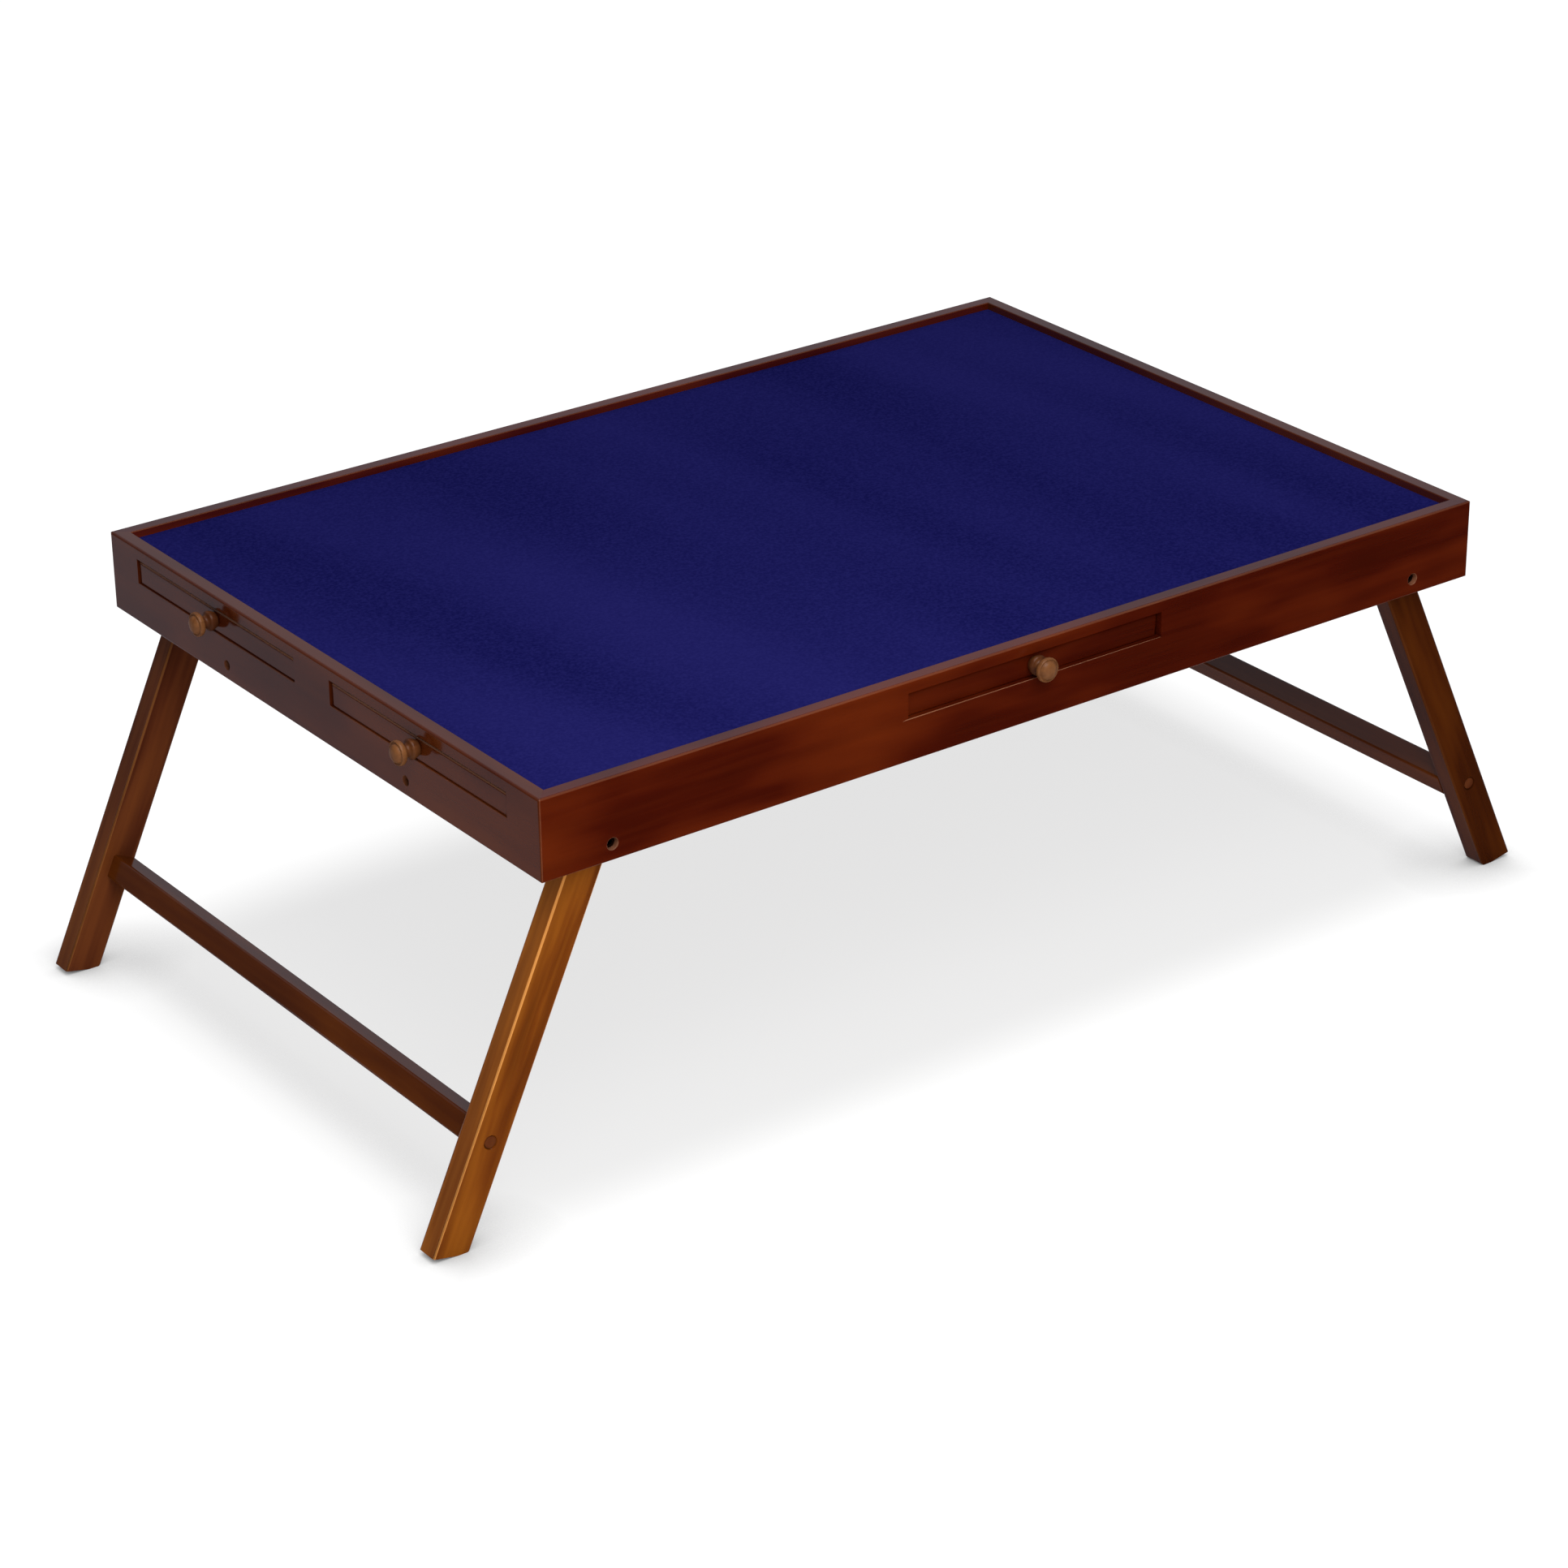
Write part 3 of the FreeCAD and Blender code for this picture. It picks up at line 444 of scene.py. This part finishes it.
def eased(node, ease, material, body, slot, wear_and_painted_light=0.0, sill_painted_highlight=0.0, bore_ease=0.0, bore_wear=0.0,
          painted_lit_side=None, reshape=None):
    """A copy of a CAD piece with its sharp outer edges eased, so that they catch the light.

    wear_and_painted_light is how far the stain is rubbed off its arrises, partly a painted highlight there.
    sill_painted_highlight paints a highlight on the sills of openings; a piece with none has no sills.
    bore_ease breaks the rims of bored holes, and bore_wear is how bare the holes are. painted_lit_side is a
    direction and the painted light on the flat side that faces it. reshape moves a vertex, given its place
    and the piece's box."""
    bm = bmesh.new()
    bm.from_mesh(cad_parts[node].data)
    bmesh.ops.remove_doubles(bm, verts=bm.verts, dist=SAME_PLACE)
    bmesh.ops.dissolve_limit(bm, angle_limit=SAME_PLANE, verts=bm.verts, edges=bm.edges)
    low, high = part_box(node)
    for vert in bm.verts if reshape else ():
        vert.co = reshape(vert.co, low, high)
    # The same layer holds rubbed stain, painted highlights and painted light.
    worn = bm.faces.layers.float.new("wear_and_painted_light")
    flats = flat_sides(bm)
    for face in bm.faces:
        if len(face.verts) == 4 and face.calc_area() < BORE_FACET:
            face[worn] = bore_wear
        elif min(face.normal.angle(flat, 0.0) for flat in flats) > CROWN_ANGLE:
            face[worn] = wear_and_painted_light
        # The flat side facing the given direction gets painted light.
        elif painted_lit_side and face.normal.angle(painted_lit_side[0], math.pi) < CROWN_ANGLE:
            face[worn] = painted_lit_side[1]
    # Each kind of edge with its round and its value; on sills the value is a painted highlight.
    rounds = ("bore", bore_ease, bore_wear), ("sill", SILL_EASE, sill_painted_highlight), ("arris", ease, wear_and_painted_light)
    for kind, offset, rubbed in rounds:
        sharp = [
            e for e in bm.edges
            if e.is_manifold and e.is_convex and e.calc_face_angle() > SHARP_ANGLE
            and edge_kind(e, sill_painted_highlight > 0) == kind
        ]
        made = bmesh.ops.bevel(
            bm, geom=sharp if offset else [], offset=offset, offset_type="OFFSET", segments=EASE_SEGMENTS,
            profile=0.5, affect="EDGES", material=-1, clamp_overlap=True,
        )
        bm.normal_update()
        for face in made["faces"]:
            face[worn] = rubbed
    piece = new_piece(node + "_finished", bm, material, body, slot, node)
    even = piece.modifiers.new("even_shading", "WEIGHTED_NORMAL")
    even.weight = NORMAL_WEIGHT
    even.keep_sharp = True


def seat_plug(place, low, high):
    """A plug driven just below its leg's face, a little off centre in its hole."""
    middle = (low + high) / 2
    out = place - Vector((middle.x, place.y, middle.z))
    depth = min(abs(place.y), high.y - PLUG_SINK)
    return Vector((middle.x, math.copysign(depth, place.y), middle.z)) + PLUG_FIT * out + PLUG_SHIFT


def square_foot(place, low, high):
    """A drawer front standing on its sill, with a tighter round on its lower edge."""
    up = place.z - low.z
    return Vector((place.x, place.y, low.z + up * (DRAWER_FOOT_ROUND if up < LOWER_EDGE else 1.0)))


for rail in ("front_rail", "back_rail"):
    eased(
        rail, RAIL_EASE, long_rail_wood, "table", "stained_wood", bore_ease=BORE_EASE, **LONG_RAIL_WEAR_AND_HIGHLIGHT,
    )
for side in SIDES:
    eased(
        side + "_end_rail", RAIL_EASE, end_rail_wood, "table", "stained_wood",
        bore_ease=BORE_EASE, **END_RAIL_WEAR_AND_HIGHLIGHT,
    )
    eased(side + "_stop_rail", RAIL_EASE, end_rail_wood, "table", "stained_wood")
    eased(side + "_stretcher", RAIL_EASE, stretcher_wood, side + "_legs", "stained_wood")
    eased(
        side + "_leg_plugs", SMALL_EASE, left_leg_wood, side + "_legs", "stained_wood",
        bore_ease=SMALL_EASE, reshape=seat_plug,
    )
for leg, (wood, wear_and_painted_light, outer_painted_light) in LEGS.items():
    body = leg.split("_")[0] + "_legs"
    # Each leg's arrises are rubbed and partly given a painted highlight, and its outer side painted light.
    eased(leg, RAIL_EASE, wood, body, "stained_wood", wear_and_painted_light, painted_lit_side=(OUTER_SIDE, outer_painted_light))
for drawer in DRAWERS:
    on_side = drawer in LONG_SIDE_DRAWERS
    face_wood = long_rail_wood if on_side else end_rail_wood
    # The end drawers' fronts get a painted highlight on their rounded edges.
    edge_painted_highlight = 0.0 if on_side else END_DRAWER_PAINTED_HIGHLIGHT
    eased(drawer + "_front", SMALL_EASE, face_wood, drawer, "stained_wood", edge_painted_highlight, reshape=square_foot)
    eased(drawer + "_walls", SMALL_EASE, inner_wood_y if on_side else inner_wood_x, drawer, "bare_wood")
for fastening in ("pivot_bolts", "stop_rail_screws"):
    eased(fastening, STEEL_EASE, bronzed_steel, "table", "steel", bore_ease=STEEL_EASE)
for fastening in ("pivot_washers", "pivot_nuts"):
    eased(fastening, STEEL_EASE, zinc_steel, "table", "steel", bore_ease=STEEL_EASE)


# Felt

FELT_SPACING = 8 * MM
# The felt lies this far under its full thickness, and swells by this much over this length.
FELT_SLACK = 0.12 * MM
FELT_SWELL = 0.1 * MM
FELT_SWELL_LENGTH = 90 * MM
FELT_EASE = 0.5 * MM


def lay_felt():
    """The felt, cut to the board and lying flat on it, softened at its cut edge."""
    low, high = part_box("felt_top")
    size = high - low
    bm = bmesh.new()
    bmesh.ops.create_grid(
        bm, x_segments=round(size.x / FELT_SPACING), y_segments=round(size.y / FELT_SPACING), size=0.5,
        matrix=Matrix.LocRotScale((low + high) / 2, None, (size.x, size.y, 1)),
    )
    for vert in bm.verts:
        swell = noise.noise(Vector((vert.co.x, vert.co.y, 0)) / FELT_SWELL_LENGTH)
        vert.co.z = high.z - FELT_SLACK + FELT_SWELL * swell
    rim = [edge for edge in bm.edges if edge.is_boundary]
    base = bmesh.ops.extrude_edge_only(bm, edges=rim)["geom"]
    for vert in [part for part in base if isinstance(part, bmesh.types.BMVert)]:
        vert.co.z = low.z
    bmesh.ops.holes_fill(bm, edges=[edge for edge in bm.edges if edge.is_boundary])
    bmesh.ops.recalc_face_normals(bm, faces=bm.faces)
    bmesh.ops.bevel(
        bm, geom=rim, offset=FELT_EASE, offset_type="OFFSET", segments=EASE_SEGMENTS, profile=0.5,
        affect="EDGES", material=-1, clamp_overlap=True,
    )
    piece = new_piece("felt_sheet", bm, felt, "table", "felt", "felt_top")


lay_felt()


# Knobs

# Out from the drawer's face and outwards from the axis, in millimetres: the corners of the turned outline,
# which subdivision rounds into a beaded collar, a coved neck, a rim, a groove and a dome.
KNOB_OUTLINE = (
    (0.0, 5.6), (1.2, 6.2), (3.4, 7.2), (5.8, 8.0), (7.6, 7.4), (8.0, 5.6),
    (9.4, 4.6), (11.4, 4.8), (12.4, 6.8),
    (13.2, 8.8), (15.4, 9.7), (17.3, 9.4), (18.0, 8.6),
    (16.8, 7.8), (17.4, 7.2), (19.2, 6.6), (20.5, 4.4), (20.9, 1.6),
)
KNOB_STEPS = 24
KNOB_ROUNDING = 2
KNOB_MERGE = 0.01 * MM
# Faces further out than this are handled, and rubbed this far.
KNOB_HANDLED = 12.5 * MM
KNOB_WEAR = 0.5


def turn_knob(drawer, material):
    """A turned knob on its drawer's face: an outline spun about its axis, paler in front from handling."""
    low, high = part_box(drawer + "_knob")
    middle = (low + high) / 2
    outwards = Vector((middle.x, 0, 0)).normalized()
    if drawer in LONG_SIDE_DRAWERS:
        outwards = Vector((0, middle.y, 0)).normalized()
    base = middle - outwards * abs((high - low).dot(outwards)) / 2
    upwards = Vector((0, 0, 1))
    bm = bmesh.new()
    outline = []
    for out, radius in KNOB_OUTLINE:
        outline.append(bm.verts.new(base + outwards * out * MM + upwards * radius * MM))
    edges = [bm.edges.new(pair) for pair in zip(outline, outline[1:])]
    bmesh.ops.spin(
        bm, geom=outline + edges, cent=base, axis=outwards, angle=2 * math.pi, steps=KNOB_STEPS,
        use_merge=True,
    )
    bmesh.ops.remove_doubles(bm, verts=bm.verts, dist=KNOB_MERGE)
    bmesh.ops.holes_fill(bm, edges=[edge for edge in bm.edges if edge.is_boundary])
    bmesh.ops.recalc_face_normals(bm, faces=bm.faces)
    worn = bm.faces.layers.float.new("wear_and_painted_light")
    for face in bm.faces:
        if (face.calc_center_median() - base).dot(outwards) > KNOB_HANDLED:
            face[worn] = KNOB_WEAR
    piece = new_piece(drawer + "_turned_knob", bm, material, drawer, "knob_wood", drawer + "_knob")
    rounding = piece.modifiers.new("rounding", "SUBSURF")
    rounding.levels = KNOB_ROUNDING
    rounding.render_levels = KNOB_ROUNDING


for drawer in DRAWERS:
    turn_knob(drawer, knob_wood_y if drawer in LONG_SIDE_DRAWERS else knob_wood_x)


# Pieces that keep their CAD meshes

def plain(node, material):
    """Give a CAD piece its material."""
    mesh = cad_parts[node].data
    mesh.materials.clear()
    mesh.materials.append(material)


for drawer in DRAWERS:
    plain(drawer + "_knob_screw", zinc_steel)
    plain(drawer + "_bottom", plywood)
for side in SIDES:
    plain(side + "_stretcher_screws", zinc_steel)
plain("work_board", hardboard)
plain("drawer_deck", deck_plywood)
plain("drawer_guides", inner_wood_x)
plain("drawer_stops", inner_wood_x)


# Camera, floor and lights

AZIMUTH = math.radians(-36.148)
ELEVATION = math.radians(25.823)
ROLL = math.radians(-0.631)
DISTANCE = 3.456
ASIDE, ABOVE = -7.055 * MM, -205.269 * MM
FOCAL_PIXELS = 5562
PHOTO_PIXELS = 1932
SENSOR = 36.0
FARTHEST = 200
FLOOR_HALF = 40
# What the lacquer mirrors. Depth is how far a direction points away from the camera, and height how far up.
# Each band of light runs from one depth or height to another, and from one brightness to another.
SWEEP = (-0.15, 1.05, 0.0, 0.8)
FAR_PAPER = (-0.36, -0.12, 1.0, 0.3)
NEAR_PAPER = (-0.8, -0.4, 0.3, 1.0)
CEILING = (0.1, 0.4, 0.0, 0.32)


def set_camera():
    """The camera of the photograph: in front, to the left and above."""
    back = Vector((
        math.sin(AZIMUTH) * math.cos(ELEVATION),
        -math.cos(AZIMUTH) * math.cos(ELEVATION),
        math.sin(ELEVATION),
    ))
    level = Vector((0, 0, 1)).cross(back).normalized()
    upright = back.cross(level)
    right = level * math.cos(ROLL) + upright * math.sin(ROLL)
    up = upright * math.cos(ROLL) - level * math.sin(ROLL)
    camera = bpy.data.objects.new("camera", bpy.data.cameras.new("camera"))
    camera.data.sensor_width = SENSOR
    camera.data.lens = SENSOR * FOCAL_PIXELS / PHOTO_PIXELS
    camera.data.clip_end = FARTHEST
    place = back * DISTANCE + right * ASIDE + up * ABOVE + Vector((0, 0, RIM_TOP))
    camera.matrix_world = Matrix.Translation(place) @ Matrix((right, up, back)).transposed().to_4x4()
    bpy.context.scene.collection.objects.link(camera)
    bpy.context.scene.camera = camera
    return back


def lay_floor():
    """A wide sheet of paper that the lacquer does not mirror; the world stands in for it there."""
    bm = bmesh.new()
    bmesh.ops.create_grid(bm, x_segments=4, y_segments=4, size=FLOOR_HALF)
    mesh = bpy.data.meshes.new("floor")
    bm.to_mesh(mesh)
    bm.free()
    mesh.materials.append(paper())
    floor = bpy.data.objects.new("floor", mesh)
    floor.visible_glossy = False
    bpy.context.scene.collection.objects.link(floor)


def softbox(name, place, aim, size, watts, mirrored):
    """A square diffused lamp, turned to its aim; a lamp that would glare in the lacquer is not mirrored."""
    lamp = bpy.data.lights.new(name, "AREA")
    lamp.size = size
    lamp.energy = watts
    holder = bpy.data.objects.new(name, lamp)
    holder.location = place
    holder.visible_glossy = mirrored
    holder.rotation_euler = (Vector(aim) - Vector(place)).to_track_quat("-Z", "Y").to_euler()
    bpy.context.scene.collection.objects.link(holder)


def light_room(back):
    """Two soft lamps, and what the lacquer mirrors: lit paper behind and a dim ceiling in a dark room."""
    world = bpy.data.worlds.new("studio")
    world.use_nodes = True
    tree = world.node_tree
    tree.nodes.clear()
    towards = add(tree, "TexCoord", {}).outputs["Generated"]
    away = Vector((-back.x, -back.y, 0)).normalized()
    depth = add(tree, "VectorMath", {0: towards, 1: away}, operation="DOT_PRODUCT").outputs["Value"]
    height = add(tree, "SeparateXYZ", {"Vector": towards}).outputs["Z"]
    lights = []
    for along, band in ((depth, SWEEP), (height, FAR_PAPER), (height, NEAR_PAPER), (height, CEILING)):
        low, high, first, last = band
        lights.append(add(tree, "MapRange", {
            "Value": along, "From Min": low, "From Max": high, "To Min": first, "To Max": last,
        }, interpolation_type="SMOOTHSTEP").outputs["Result"])
    sweep, far_paper, near_paper, ceiling = lights
    lit_paper = add(tree, "Math", {0: far_paper, 1: near_paper}, operation="MULTIPLY").outputs["Value"]
    dimmed = add(tree, "Math", {0: lit_paper, 1: ceiling}, operation="ADD").outputs["Value"]
    bright = add(tree, "Math", {0: sweep, 1: dimmed}, operation="MULTIPLY").outputs["Value"]
    sky = add(tree, "Background", {"Color": linear("#f1f2ff"), "Strength": bright})
    add(tree, "OutputWorld", {"Surface": sky.outputs["Background"]})
    bpy.context.scene.world = world
    softbox("key_softbox", place=(-1.0, -2.1, 1.95), aim=(0, 0, 0.25), size=1.8, watts=58, mirrored=False)
    softbox("top_softbox", place=(-0.4, -0.85, 2.3), aim=(0, 0, 0.3), size=1.6, watts=28, mirrored=True)


camera_back = set_camera()
lay_floor()
light_room(camera_back)
bpy.context.scene.view_settings.view_transform = "Standard"
